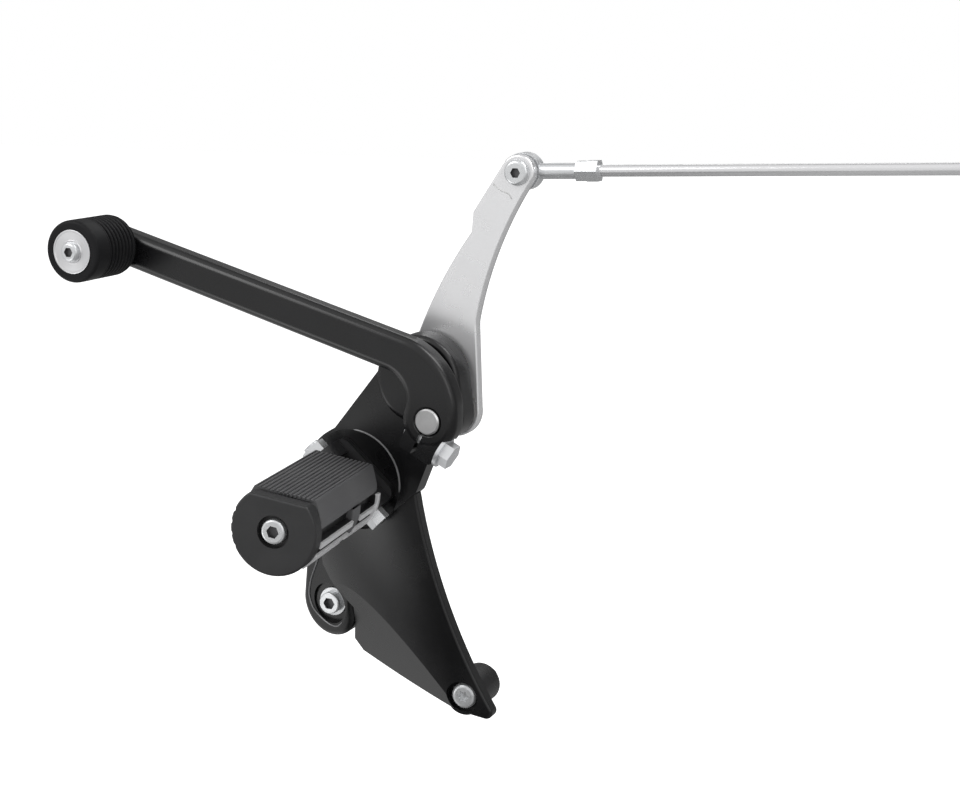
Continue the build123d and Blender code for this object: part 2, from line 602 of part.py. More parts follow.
# Toe peg: spindle, ringed rubber, end cap and the screw that holds them on the lever
RUBBER_IN = LEVER_OUT + TOE_COLLAR_T
RUBBER_OUT = RUBBER_IN + TOE_RUBBER_L
CAP_SEAT = RUBBER_OUT - TOE_CAP_DEEP
with BuildPart() as toe_peg_core:
    post(toe(LEVER_OUT), TOE_COLLAR_R, TOE_COLLAR_T)
    post(toe(RUBBER_IN), TOE_CORE_R, CAP_SEAT - RUBBER_IN)
    post(toe(LEVER_OUT), TOE_SCREW_R + FIT, CAP_SEAT, mode=Mode.SUBTRACT)

with BuildPart() as toe_peg_rubber:
    with BuildSketch(Plane(origin=toe(RUBBER_IN).origin, x_dir=(1, 0, 0), z_dir=(0, 0, -1))):
        with BuildLine():
            ridge = TOE_RING_PITCH / 4
            low = TOE_RUBBER_R - TOE_RING_DEEP
            rings = []
            for i in range(TOE_RING_COUNT):
                start = TOE_RING_PITCH * i
                rings += [(low, start), (low, start + ridge), (TOE_RUBBER_R, start + 1.5 * ridge),
                          (TOE_RUBBER_R, start + 3.5 * ridge)]
            smooth = TOE_RING_PITCH * TOE_RING_COUNT
            Polyline((TOE_CORE_R + FIT, 0), *rings, (low, smooth), (low, smooth + ridge),
                     (TOE_RUBBER_R, smooth + 1.5 * ridge), (TOE_RUBBER_R, TOE_RUBBER_L - 1),
                     (TOE_RUBBER_R - 1, TOE_RUBBER_L), (TOE_CAP_R + FIT, TOE_RUBBER_L),
                     (TOE_CAP_R + FIT, TOE_RUBBER_L - TOE_CAP_DEEP),
                     (TOE_CORE_R + FIT, TOE_RUBBER_L - TOE_CAP_DEEP), close=True)
        make_face()
    revolve(axis=Axis(toe(0).origin, (0, -1, 0)))

with BuildPart() as toe_peg_cap:
    post(toe(CAP_SEAT), TOE_CAP_R, TOE_CAP_T)
    fillet(toe_peg_cap.faces().sort_by(Axis.Y)[0].edges(), 0.6)
    post(toe(CAP_SEAT), TOE_SCREW_R + FIT, TOE_CAP_T, mode=Mode.SUBTRACT)

with BuildPart() as toe_peg_screw:
    post(toe(LEVER_IN + 2), TOE_SCREW_R, CAP_SEAT + TOE_CAP_T - LEVER_IN - 2)
    dome(toe(CAP_SEAT + TOE_CAP_T), TOE_HEAD_R, TOE_HEAD_T, TOE_HEAD_T * 0.6)
    hexagon(toe(CAP_SEAT + TOE_CAP_T + TOE_HEAD_T), TOE_SOCKET_AF, -TOE_HEAD_T * 0.7, mode=Mode.SUBTRACT)

# Linkage arm, cranked forward of the line from the shaft to its eye
with BuildPart() as linkage_arm:
    with BuildSketch(pivot(ARM_IN)):
        with BuildLine():
            shin = Line((ARM_HUB_R, 2), ARM_SHIN)
            calf = ThreePointArc(shin @ 1, ARM_CALF, polar(EYE_X, EYE_Z, EYE_R, -20))
            tip = ThreePointArc(calf @ 1, polar(EYE_X, EYE_Z, EYE_R, 65), polar(EYE_X, EYE_Z, EYE_R, 147))
            back = Polyline(tip @ 1, ARM_SHOULDER, ARM_NOTCH)
            belly = ThreePointArc(back @ 1, ARM_BELLY, ARM_HEEL)
            heel = ThreePointArc(belly @ 1, (ARM_HEEL[0] + 0.5, ARM_HEEL[1] / 2 - 1), polar(0, 0, ARM_HUB_R, 175))
            ThreePointArc(heel @ 1, polar(0, 0, ARM_HUB_R, -90), shin @ 0)
        make_face()
        fillet(vertices().sort_by_distance(ARM_SHIN)[0], 20)
    extrude(amount=ARM_T)
    fillet(linkage_arm.faces().sort_by(Axis.Y)[0].edges(), ARM_EDGE_R)
    post(pivot(0), SHAFT_R + FIT, FORM_DEPTH, mode=Mode.SUBTRACT)
    post(side(PIVOT_X + EYE_X, PIVOT_Z + EYE_Z, 0), STUD_R + FIT, FORM_DEPTH, mode=Mode.SUBTRACT)

with BuildPart() as arm_washer:
    post(pivot(ARM_IN - ARM_WASHER_T), ARM_WASHER_R, ARM_WASHER_T)
    post(pivot(ARM_IN - ARM_WASHER_T), ARM_SCREW_R + FIT, ARM_WASHER_T, mode=Mode.SUBTRACT)

with BuildPart() as arm_screw:
    post(pivot(ARM_IN - ARM_WASHER_T), ARM_SCREW_R, ARM_WASHER_T + ARM_SCREW_L)
    post(pivot(ARM_IN - ARM_WASHER_T - ARM_HEAD_T), ARM_HEAD_R, ARM_HEAD_T)
    hexagon(pivot(ARM_IN - ARM_WASHER_T - ARM_HEAD_T), ARM_HEAD_R, ARM_HEAD_T * 0.6, mode=Mode.SUBTRACT)

# Stud through the arm's eye and the front ball
rod_dir = (cos(radians(ROD_RISE)), 0, sin(radians(ROD_RISE)))
front_eye = Plane(origin=(PIVOT_X + EYE_X, -ROD_OUT, PIVOT_Z + EYE_Z), x_dir=rod_dir, z_dir=(0, -1, 0))
rear_eye = Plane(origin=front_eye.origin + Vector(*rod_dir) * ROD_L, x_dir=Vector(*rod_dir) * -1, z_dir=(0, -1, 0))
BALL_IN = ROD_OUT - BALL_W / 2
with BuildPart() as stud_screw:
    stud = side(PIVOT_X + EYE_X, PIVOT_Z + EYE_Z, BALL_IN - STUD_NUT_T - 1.5)
    post(stud, STUD_R, ARM_OUT - BALL_IN + STUD_NUT_T + 1.5)
    dome(stud.offset(ARM_OUT - BALL_IN + STUD_NUT_T + 1.5), STUD_HEAD_R, STUD_HEAD_T, STUD_HEAD_T * 0.65)
    hexagon(stud.offset(ARM_OUT - BALL_IN + STUD_NUT_T + 1.5 + STUD_HEAD_T), STUD_SOCKET_AF, -STUD_HEAD_T * 0.7,
            mode=Mode.SUBTRACT)

with BuildPart() as stud_nut:
    hexagon(side(PIVOT_X + EYE_X, PIVOT_Z + EYE_Z, BALL_IN), STUD_NUT_AF, -STUD_NUT_T)
    post(side(PIVOT_X + EYE_X, PIVOT_Z + EYE_Z, BALL_IN - STUD_NUT_T), STUD_R + FIT, STUD_NUT_T, mode=Mode.SUBTRACT)


def ball(eye):
    """Ball with two flats and a bore, centred on an eye plane."""
    with BuildPart() as joint_ball:
        with Locations(eye):
            Sphere(BALL_R)
            Cylinder(BALL_R, BALL_W, mode=Mode.INTERSECT)
            Cylinder(STUD_R + FIT, BALL_W, mode=Mode.SUBTRACT)
    return joint_ball.part


def rod_end(eye):
    """Ring round a ball, with a shank and wrench flats; the eye plane's x points along the rod."""
    along = Plane(origin=eye.origin, x_dir=eye.z_dir, z_dir=eye.x_dir)
    with BuildPart() as end:
        post(eye.offset(-RING_W / 2), RING_R, RING_W)
        post(along.offset(BALL_R), SHANK_R, SHANK_L - BALL_R)
        hexagon(along.offset(SHANK_L), FLATS_AF, FLATS_L)
        post(along.offset(RING_R + 4), ROD_THREAD_R + FIT, SHANK_L, mode=Mode.SUBTRACT)
        with Locations(eye):
            Sphere(BALL_R + RACE_GAP, mode=Mode.SUBTRACT)
    return end.part


def jam_nut(eye):
    """Nut that locks a rod end on the rod."""
    along = Plane(origin=eye.origin, x_dir=eye.z_dir, z_dir=eye.x_dir)
    with BuildPart() as nut:
        hexagon(along.offset(SHANK_L + FLATS_L), JAM_AF, JAM_T)
        post(along.offset(SHANK_L), ROD_THREAD_R + FIT, SHANK_L, mode=Mode.SUBTRACT)
    return nut.part


with BuildPart() as front_ball:
    add(ball(front_eye))

with BuildPart() as rear_ball:
    add(ball(rear_eye))

with BuildPart() as front_rod_end:
    add(rod_end(front_eye))

with BuildPart() as rear_rod_end:
    add(rod_end(rear_eye))

with BuildPart() as front_jam_nut:
    add(jam_nut(front_eye))

with BuildPart() as rear_jam_nut:
    add(jam_nut(rear_eye))

THREAD_AT = RING_R + 5
BAR_AT = SHANK_L + FLATS_L + JAM_T
with BuildPart() as rod_bar:
    rod_line = Plane(origin=front_eye.origin, x_dir=(0, -1, 0), z_dir=rod_dir)
    post(rod_line.offset(THREAD_AT), ROD_THREAD_R, ROD_L - 2 * THREAD_AT)
    post(rod_line.offset(BAR_AT), ROD_R, ROD_L - 2 * BAR_AT)

pieces = {
    "mount_bracket": mount_bracket,
    "rear_frame_screw": rear_frame_screw,
    "front_frame_screw": front_frame_screw,
    "front_screw_washer": front_screw_washer,
    "pivot_bush_outer": pivot_bush_outer,
    "pivot_bush_inner": pivot_bush_inner,
    "peg_clevis": peg_clevis,
    "clevis_lock_washer": clevis_lock_washer,
    "clevis_nut": clevis_nut,
    "peg_pin": peg_pin,
    "peg_pin_nut": peg_pin_nut,
    "peg_spring_washer": peg_spring_washer,
    "peg_core": peg_core,
    "peg_rubber": peg_rubber,
    "peg_end_cap": peg_end_cap,
    "peg_end_screw": peg_end_screw,
    "shift_lever": shift_lever,
    "lever_pinch_bolt": lever_pinch_bolt,
    "shift_shaft": shift_shaft,
    "thrust_washer_outer": thrust_washer_outer,
    "thrust_washer_inner": thrust_washer_inner,
    "toe_peg_core": toe_peg_core,
    "toe_peg_rubber": toe_peg_rubber,
    "toe_peg_cap": toe_peg_cap,
    "toe_peg_screw": toe_peg_screw,
    "linkage_arm": linkage_arm,
    "arm_washer": arm_washer,
    "arm_screw": arm_screw,
    "stud_screw": stud_screw,
    "stud_nut": stud_nut,
    "front_ball": front_ball,
    "rear_ball": rear_ball,
    "front_rod_end": front_rod_end,
    "rear_rod_end": rear_rod_end,
    "front_jam_nut": front_jam_nut,
    "rear_jam_nut": rear_jam_nut,
    "rod_bar": rod_bar,
}
for name, piece in pieces.items():
    piece.part.label = name
    export_step(piece.part, f"parts/{name}.step")
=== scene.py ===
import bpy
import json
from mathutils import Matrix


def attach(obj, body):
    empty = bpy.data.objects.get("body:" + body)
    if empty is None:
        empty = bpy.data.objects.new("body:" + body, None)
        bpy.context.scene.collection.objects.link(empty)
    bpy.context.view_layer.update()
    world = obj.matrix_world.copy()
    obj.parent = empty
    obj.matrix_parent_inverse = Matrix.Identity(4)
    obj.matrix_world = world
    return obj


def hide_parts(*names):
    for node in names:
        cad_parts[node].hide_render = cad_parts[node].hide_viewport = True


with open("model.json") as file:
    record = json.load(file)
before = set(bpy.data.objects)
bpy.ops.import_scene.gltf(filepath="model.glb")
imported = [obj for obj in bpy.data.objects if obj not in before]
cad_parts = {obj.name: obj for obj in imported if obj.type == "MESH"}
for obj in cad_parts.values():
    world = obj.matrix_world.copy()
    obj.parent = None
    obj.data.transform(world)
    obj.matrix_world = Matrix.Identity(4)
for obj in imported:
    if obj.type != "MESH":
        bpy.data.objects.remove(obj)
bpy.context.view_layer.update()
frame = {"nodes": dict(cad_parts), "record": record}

import json
import logging
from dataclasses import dataclass
from enum import Enum
from functools import reduce
from math import cos, radians, sin

import bmesh
import bpy
import numpy as np
from mathutils import Vector

LOG = logging.getLogger("forward_controls")
MM = 0.001

# Places and directions on the part, in millimetres. A pair is x and z, seen square to the bracket's seat.
PEG_PIN = (-63.0, -46.0, 123.0)
PEG_LINE = (0.1219, -0.9925, 0.0)
PEG_ACROSS = (0.9925, 0.1219, 0.0)
FOLD_LINE = (-0.7018, -0.0862, 0.7071)
REAR_SCREW = (0.0, 0.0)
FRONT_SCREW = (-94.5, 38.5)
TOE_PEG = (-206.0, 252.7)
ARM_EYE = (30.5, 298.6)
SHIFT_SHAFT = (-7.0, 166.0)


class Slot(Enum):
    """Material slots of the record, by the finish that each one stands for."""

    GLOSS_BLACK = "black_gloss"
    SATIN_BLACK = "black_satin"
    PEG_RUBBER = "peg_rubber"
    TOE_RUBBER = "toe_rubber"
    POLISHED_ALLOY = "polished_alloy"
    MACHINED_ALLOY = "machined_alloy"
    BRIGHT_STEEL = "polished_steel"
    ZINC = "zinc_steel"
    SHAFT_STEEL = "shaft_steel"
    BRONZE = "bearing_bronze"


class Sense(Enum):
    """Whether each row of a grid of points closes on its own start."""

    OPEN = False
    AROUND = True


@dataclass(frozen=True)
class Axes:
    """A placed frame: points are given as x, y and z along its three directions, in millimetres."""

    origin: tuple[float, float, float]
    x: tuple[float, float, float]
    z: tuple[float, float, float]

    def place(self, points: np.ndarray) -> np.ndarray:
        """Carries local points into the row frame.

        Args:
            points: array whose last axis holds local x, y and z in millimetres.

        Returns:
            Array of the same shape in metres.
        """
        x = np.array(self.x, float)
        z = np.array(self.z, float)
        x, z = x / np.linalg.norm(x), z / np.linalg.norm(z)
        turn = np.stack([x, np.cross(z, x), z])
        return (np.array(self.origin, float) + points @ turn) * MM

    def along(self, distance: float) -> "Axes":
        """The same frame, moved along its own z by a distance in millimetres."""
        z = np.array(self.z, float)
        moved = np.array(self.origin, float) + z / np.linalg.norm(z) * distance
        return Axes(tuple(moved), self.x, self.z)


def side(place: tuple[float, float], out: float) -> Axes:
    """Frame at a place seen square to the bracket's seat, and out from it. Its z points away from the motorcycle."""
    return Axes((place[0], -out, place[1]), (1, 0, 0), (0, -1, 0))


def sheet_mesh(name: str, points: np.ndarray, sense: Sense, crease: float = 35.0) -> bpy.types.Object:
    """Makes a mesh from a grid of points, where each cell of the grid is one quad.

    Args:
        name: name of the piece.
        points: array of rows, columns and the three coordinates, in metres.
        sense: whether each row closes on its own start.
        crease: angle in degrees past which an edge stays sharp.

    Returns:
        The new object, with coincident points merged and its faces turned outwards.
    """
    rows, columns = points.shape[:2]
    index = np.arange(rows * columns).reshape(rows, columns)
    if sense.value:
        index = np.concatenate([index, index[:, :1]], axis=1)
    quads = np.stack([index[:-1, :-1], index[:-1, 1:], index[1:, 1:], index[1:, :-1]], axis=-1)
    mesh = bpy.data.meshes.new(name)
    mesh.from_pydata(points.reshape(-1, 3).tolist(), [], quads.reshape(-1, 4).tolist())
    shell = bmesh.new()
    shell.from_mesh(mesh)
    bmesh.ops.remove_doubles(shell, verts=shell.verts, dist=1e-7)
    bmesh.ops.dissolve_degenerate(shell, dist=1e-8, edges=shell.edges)
    bmesh.ops.recalc_face_normals(shell, faces=shell.faces)
    shell.to_mesh(mesh)
    shell.free()
    mesh.shade_smooth()
    mesh.set_sharp_from_angle(angle=radians(crease))
    piece = bpy.data.objects.new(name, mesh)
    bpy.context.scene.collection.objects.link(piece)
    return piece


def turned(name: str, axes: Axes, profile: np.ndarray, steps: int = 96) -> bpy.types.Object:
    """A turned piece. A profile point (r, h) becomes (r cos t, r sin t, h) for t all the way round.

    Args:
        name: name of the piece.
        axes: frame whose z is the axis of the turning.
        profile: array of radius and height pairs, in millimetres.
        steps: number of columns round the axis.

    Returns:
        The new object.
    """
    turn = np.linspace(0, 2 * np.pi, steps, endpoint=False)
    radius, height = profile[:, :1], profile[:, 1:]
    grid = np.stack([radius * np.cos(turn), radius * np.sin(turn), height + 0 * turn], axis=-1)
    return sheet_mesh(name, axes.place(grid), Sense.AROUND)


def rounded(corners: list[tuple[float, float, float]], steps: int = 5) -> np.ndarray:
    """Rounds the corners of an open line: each corner with a radius becomes a quadratic arc.

    The arc from a to b round the corner c is (1-t)^2 a + 2t(1-t) c + t^2 b.

    Args:
        corners: x, y and the corner's reach in millimetres. A reach of 0 keeps it sharp.
        steps: points on each arc.

    Returns:
        Array of points along the line.
    """
    line = np.array(corners, float)
    out = [line[:1, :2]]
    t = np.linspace(0, 1, steps)[:, None]
    for before, here, after in zip(line[:-2], line[1:-1], line[2:]):
        if not here[2]:
            out.append(here[None, :2])
            continue
        back, ahead = before[:2] - here[:2], after[:2] - here[:2]
        start = here[:2] + back / np.linalg.norm(back) * here[2]
        stop = here[:2] + ahead / np.linalg.norm(ahead) * here[2]
        out.append((1 - t) ** 2 * start + 2 * t * (1 - t) * here[:2] + t**2 * stop)
    out.append(line[-1:, :2])
    return np.concatenate(out)


def helix(name: str, axes: Axes, root: float, crest: float, length: float, pitch: float = 1.25) -> bpy.types.Object:
    """A screw thread, as a skin round its core.

    At angle t and height h the radius is root + (crest - root) w, where w rises and falls once as
    h / pitch - t / 2 pi goes through one whole number, with the crest and root a little flat.

    Args:
        name: name of the piece.
        axes: frame whose z runs along the thread.
        root: radius at the bottom of the thread, in millimetres.
        crest: radius at its top.
        length: how far it runs.
        pitch: distance from turn to turn.

    Returns:
        The new object.
    """
    turn = np.linspace(0, 2 * np.pi, 40, endpoint=False)
    height = np.linspace(0, length, int(length / pitch * 10) + 1)[:, None]
    phase = np.abs(((height / pitch - turn / (2 * np.pi)) % 1) * 2 - 1)
    wave = np.clip(phase * 1.35 - 0.15, 0, 1)
    fade = np.clip(np.minimum(height, length - height) / pitch, 0, 1)
    radius = root + (crest - root) * wave * fade
    grid = np.stack([radius * np.cos(turn), radius * np.sin(turn), height + 0 * turn], axis=-1)
    return sheet_mesh(name, axes.place(grid), Sense.AROUND, crease=60)


def smooth_line(points: np.ndarray, steps: int = 12) -> np.ndarray:
    """Passes a smooth line through points.

    Between b and c it is (2b + (c-a)t + (2a-5b+4c-e)t^2 + (3b-a-3c+e)t^3) / 2, with a before b and e after c.

    Args:
        points: array of points, one a row.
        steps: points on each span.

    Returns:
        Array of points along the line.
    """
    padded = np.concatenate([2 * points[:1] - points[1:2], points, 2 * points[-1:] - points[-2:-1]])
    t = np.linspace(0, 1, steps, endpoint=False)[:, None]
    spans = [(2 * b + (c - a) * t + (2 * a - 5 * b + 4 * c - e) * t**2 + (3 * b - a - 3 * c + e) * t**3) / 2
             for a, b, c, e in zip(padded, padded[1:], padded[2:], padded[3:])]
    return np.concatenate([*spans, points[-1:]])


def group_tree(name: str, inputs: dict[str, float], outputs: list[str]) -> bpy.types.ShaderNodeTree:
    """A shader node group with named float sockets.

    Args:
        name: name of the group.
        inputs: input sockets with their plain values.
        outputs: output sockets.

    Returns:
        The group, with its input and output nodes in place.
    """
    tree = bpy.data.node_groups.new(name, "ShaderNodeTree")
    for label, value in inputs.items():
        tree.interface.new_socket(label, in_out="INPUT", socket_type="NodeSocketFloat").default_value = value
    for label in outputs:
        tree.interface.new_socket(label, in_out="OUTPUT", socket_type="NodeSocketFloat")
    tree.nodes.new("NodeGroupInput")
    tree.nodes.new("NodeGroupOutput")
    return tree


class Nodes:
    """Short hand for wiring nodes in a tree."""

    def __init__(self, tree: bpy.types.NodeTree) -> None:
        """Keeps the tree to wire."""
        self.tree = tree

    def add(self, kind: str, links: dict | None = None, **values: object) -> bpy.types.Node:
        """Adds a node.

        Args:
            kind: the node's type name.
            links: input name or number to an output socket or a plain value.
            values: attributes of the node itself.

        Returns:
            The new node.
        """
        node = self.tree.nodes.new(kind)
        for key, value in values.items():
            setattr(node, key, value)
        for key, value in (links or {}).items():
            if isinstance(value, bpy.types.NodeSocket):
                self.tree.links.new(value, node.inputs[key])
            else:
                node.inputs[key].default_value = value
        return node

    def math(self, operation: str, *values: object) -> bpy.types.NodeSocket:
        """Output of a math node over sockets or numbers."""
        return self.add("ShaderNodeMath", dict(enumerate(values)), operation=operation).outputs[0]

    def highest(self, *values: object) -> bpy.types.NodeSocket:
        """The highest of several values."""
        return reduce(lambda first, second: self.math("MAXIMUM", first, second), values)

    def noise(self, place: object, scale: object, detail: float = 3.0, rough: float = 0.5) -> bpy.types.NodeSocket:
        """Value of a noise texture, from 0 to 1."""
        links = {"Vector": place, "Scale": scale, "Detail": detail, "Roughness": rough}
        return self.add("ShaderNodeTexNoise", links).outputs[0]

    def spread(self, value: object, low: float, high: float, start: float, stop: float) -> bpy.types.NodeSocket:
        """Maps a value from one span to another, held at its ends."""
        links = {"Value": value, 1: low, 2: high, 3: start, 4: stop}
        return self.add("ShaderNodeMapRange", links).outputs[0]


# The broad waves of a surface are this share of its grain's scale. Dust is this much finer than the smears, and
# each shows where its noise lies within its span.
BROAD_SCALE = 0.16
DUST_SCALE = 22.0
SMEAR_SPAN = (0.42, 0.72)
DUST_SPAN = (0.74, 0.86)


@dataclass(frozen=True)
class Effects:
    """The shader groups that the finishes share."""

    grain: bpy.types.ShaderNodeTree
    marks: bpy.types.ShaderNodeTree

    @classmethod
    def build(cls) -> "Effects":
        """Builds both groups.

        Returns:
            The groups: grain gives a bump height, marks gives where hands, dust and polish have left traces.
        """
        grain = group_tree("surface_grain", {"Scale": 900.0, "Peel": 0.3}, ["Height"])
        net = Nodes(grain)
        source = grain.nodes["Group Input"]
        place = net.add("ShaderNodeTexCoord").outputs["Object"]
        fine = net.noise(place, source.outputs["Scale"], 2.0, 0.6)
        broad = net.noise(place, net.math("MULTIPLY", source.outputs["Scale"], BROAD_SCALE), 2.0)
        height = net.math("ADD", fine, net.math("MULTIPLY", broad, source.outputs["Peel"]))
        grain.links.new(height, grain.nodes["Group Output"].inputs["Height"])

        marks = group_tree("handling_marks", {"Scale": 30.0}, ["Smear", "Dust"])
        net = Nodes(marks)
        source = marks.nodes["Group Input"]
        place = net.add("ShaderNodeTexCoord").outputs["Object"]
        cloud = net.noise(place, source.outputs["Scale"], 4.0, 0.6)
        smear = net.spread(cloud, *SMEAR_SPAN, 0.0, 1.0)
        specks = net.noise(place, net.math("MULTIPLY", source.outputs["Scale"], DUST_SCALE), 1.0)
        dust = net.spread(specks, *DUST_SPAN, 0.0, 1.0)
        marks.links.new(smear, marks.nodes["Group Output"].inputs["Smear"])
        marks.links.new(dust, marks.nodes["Group Output"].inputs["Dust"])
        return cls(grain, marks)


@dataclass(frozen=True)
class Finish:
    """One surface finish, with the values that the shared groups take for it. The grain's depth is in millimetres."""

    name: str
    colour: tuple[float, float, float]
    metallic: float
    rough: float
    rough_worn: float
    grain_scale: float
    grain_depth: float
    peel: float = 0.3
    tint: tuple[float, float, float] = (0.5, 0.5, 0.5)
    tint_share: float = 0.0
    mark_scale: float = 30.0
    specular: float = 0.5

    def material(self, effects: Effects) -> bpy.types.Material:
        """Builds the material: colour and roughness vary with the marks, and the grain is a bump.

        Args:
            effects: the shared groups.

        Returns:
            The new material.
        """
        made = bpy.data.materials.new(self.name)
        made.use_nodes = True
        net = Nodes(made.node_tree)
        shader = made.node_tree.nodes["Principled BSDF"]
        marks = net.add("ShaderNodeGroup", node_tree=effects.marks)
        marks.inputs["Scale"].default_value = self.mark_scale
        grain = net.add("ShaderNodeGroup", node_tree=effects.grain)
        grain.inputs["Scale"].default_value = self.grain_scale
        grain.inputs["Peel"].default_value = self.peel
        share = net.math("MULTIPLY", net.highest(marks.outputs["Smear"], marks.outputs["Dust"]), self.tint_share)
        tone = net.add("ShaderNodeMix", {0: share}, data_type="RGBA")
        tone.inputs[6].default_value = (*self.colour, 1)
        tone.inputs[7].default_value = (*self.tint, 1)
        rough = net.spread(marks.outputs["Smear"], 0.0, 1.0, self.rough, self.rough_worn)
        bump = net.add("ShaderNodeBump",
                       {"Height": grain.outputs["Height"], "Distance": self.grain_depth * MM, "Strength": 1.0})
        self.wire(net, shader, tone.outputs[2], rough, bump.outputs[0])
        return made

    def wire(self, net: Nodes, shader: bpy.types.Node, tone: bpy.types.NodeSocket, rough: bpy.types.NodeSocket,
             normal: bpy.types.NodeSocket) -> None:
        """Joins the three changing values to the shader and sets its plain ones."""
        net.tree.links.new(tone, shader.inputs["Base Color"])
        net.tree.links.new(rough, shader.inputs["Roughness"])
        net.tree.links.new(normal, shader.inputs["Normal"])
        shader.inputs["Metallic"].default_value = self.metallic
        shader.inputs["Specular IOR Level"].default_value = self.specular


@dataclass(frozen=True)
class CrownFinish(Finish):
    """Cast finish of the peg's barrel: black in the grooves, and bright where the crowns of the fins are turned."""

    crown_radius: float = 23.0
    crown_fade: float = 0.3
    groove: tuple[float, float, float] = (0.006, 0.006, 0.0065)
    crown_metallic: float = 0.45

    def wire(self, net: Nodes, shader: bpy.types.Node, tone: bpy.types.NodeSocket, rough: bpy.types.NodeSocket,
             normal: bpy.types.NodeSocket) -> None:
        """Blends the two tones by the distance from the barrel's line, which is |(p - q) x line|."""
        super().wire(net, shader, tone, rough, normal)
        place = net.add("ShaderNodeTexCoord").outputs["Object"]
        pin = tuple(value * MM for value in PEG_PIN)
        arm = net.add("ShaderNodeVectorMath", {0: place, 1: pin}, operation="SUBTRACT").outputs[0]
        turned_off = net.add("ShaderNodeVectorMath", {0: arm, 1: PEG_LINE}, operation="CROSS_PRODUCT").outputs[0]
        radius = net.add("ShaderNodeVectorMath", {0: turned_off}, operation="LENGTH").outputs["Value"]
        start = self.crown_radius * MM
        crown = net.spread(radius, start, start + self.crown_fade * MM, 0.0, 1.0)
        mix = net.add("ShaderNodeMix", {0: crown, 7: tone}, data_type="RGBA")
        mix.inputs[6].default_value = (*self.groove, 1)
        net.tree.links.new(mix.outputs[2], shader.inputs["Base Color"])
        net.tree.links.new(net.math("MULTIPLY", crown, self.crown_metallic), shader.inputs["Metallic"])


FINISHES: dict[Slot, Finish] = {
    Slot.GLOSS_BLACK: Finish(
        "gloss black powder coat", colour=(0.0032, 0.0032, 0.0036), metallic=0.0, rough=0.24, rough_worn=0.31,
        grain_scale=520.0, grain_depth=0.006, peel=0.9, tint=(0.012, 0.012, 0.013), tint_share=0.3, mark_scale=24.0),
    Slot.SATIN_BLACK: Finish(
        "satin black coat", colour=(0.016, 0.016, 0.017), metallic=0.0, rough=0.42, rough_worn=0.5,
        grain_scale=900.0, grain_depth=0.006, tint=(0.04, 0.04, 0.04), tint_share=0.3),
    Slot.PEG_RUBBER: Finish(
        "moulded peg rubber", colour=(0.082, 0.082, 0.085), metallic=0.0, rough=0.7, rough_worn=0.84,
        grain_scale=1400.0, grain_depth=0.02, tint=(0.13, 0.13, 0.13), tint_share=0.35, specular=0.4),
    Slot.TOE_RUBBER: Finish(
        "moulded toe rubber", colour=(0.009, 0.009, 0.01), metallic=0.0, rough=0.46, rough_worn=0.6,
        grain_scale=1400.0, grain_depth=0.01, tint=(0.03, 0.03, 0.03), tint_share=0.3, specular=0.12),
    Slot.POLISHED_ALLOY: Finish(
        "polished alloy", colour=(0.86, 0.86, 0.87), metallic=0.72, rough=0.24, rough_worn=0.32,
        grain_scale=260.0, grain_depth=0.004, peel=1.0, tint=(0.6, 0.6, 0.61), tint_share=0.15, mark_scale=26.0),
    Slot.MACHINED_ALLOY: Finish(
        "machined alloy", colour=(0.74, 0.74, 0.75), metallic=1.0, rough=0.3, rough_worn=0.4,
        grain_scale=1500.0, grain_depth=0.0015, tint=(0.66, 0.66, 0.67), tint_share=0.5),
    Slot.BRIGHT_STEEL: Finish(
        "bright plated steel", colour=(0.75, 0.75, 0.76), metallic=0.65, rough=0.16, rough_worn=0.24,
        grain_scale=800.0, grain_depth=0.001, tint=(0.7, 0.7, 0.71), tint_share=0.3),
    Slot.ZINC: Finish(
        "bright zinc plate", colour=(0.71, 0.72, 0.73), metallic=0.7, rough=0.26, rough_worn=0.36,
        grain_scale=1300.0, grain_depth=0.0015, tint=(0.5, 0.51, 0.53), tint_share=0.3, mark_scale=60.0),
    Slot.SHAFT_STEEL: Finish(
        "ground steel", colour=(0.64, 0.64, 0.64), metallic=1.0, rough=0.34, rough_worn=0.44,
        grain_scale=1800.0, grain_depth=0.002, tint=(0.4, 0.4, 0.4), tint_share=0.5, mark_scale=90.0),
    Slot.BRONZE: Finish(
        "sintered bronze", colour=(0.3, 0.23, 0.15), metallic=1.0, rough=0.42, rough_worn=0.52,
        grain_scale=2200.0, grain_depth=0.004, tint=(0.3, 0.2, 0.1), tint_share=0.5),
}
CAST_ALLOY = CrownFinish(
    "black cast alloy with bright crowns", colour=(0.8, 0.8, 0.81), metallic=1.0, rough=0.34, rough_worn=0.42,
    grain_scale=1500.0, grain_depth=0.002, tint=(0.6, 0.6, 0.61), tint_share=0.4)
# Bright finish of the thin beads along the casting's rims: a painted highlight standing in for the light those edges
# catch.
RIM_HIGHLIGHT = Finish(
    "black edge with painted highlight", colour=(0.2, 0.2, 0.205), metallic=0.5, rough=0.3, rough_worn=0.4,
    grain_scale=900.0, grain_depth=0.002, tint=(0.12, 0.12, 0.12), tint_share=0.5, mark_scale=90.0)
# Dark finish of the socket linings: painted shade inside the hexagon sockets.
SOCKET_SHADE = Finish(
    "painted socket shade", colour=(0.1, 0.1, 0.104), metallic=0.6, rough=0.4, rough_worn=0.5,
    grain_scale=1500.0, grain_depth=0.002, tint=(0.2, 0.2, 0.2), tint_share=0.4, mark_scale=120.0)

# CAD nodes whose sharp edges are rounded, with the reach of the rounding in millimetres. Edges that turn by more
# than the angle in degrees are sharp, and points as near as the weld's reach are joined first.
SOFT_EDGES: dict[str, float] = {"peg_core": 0.35, "linkage_arm": 0.4, "shift_lever": 0.4}
SHARP_ANGLE = 38
WELD_REACH = 0.001


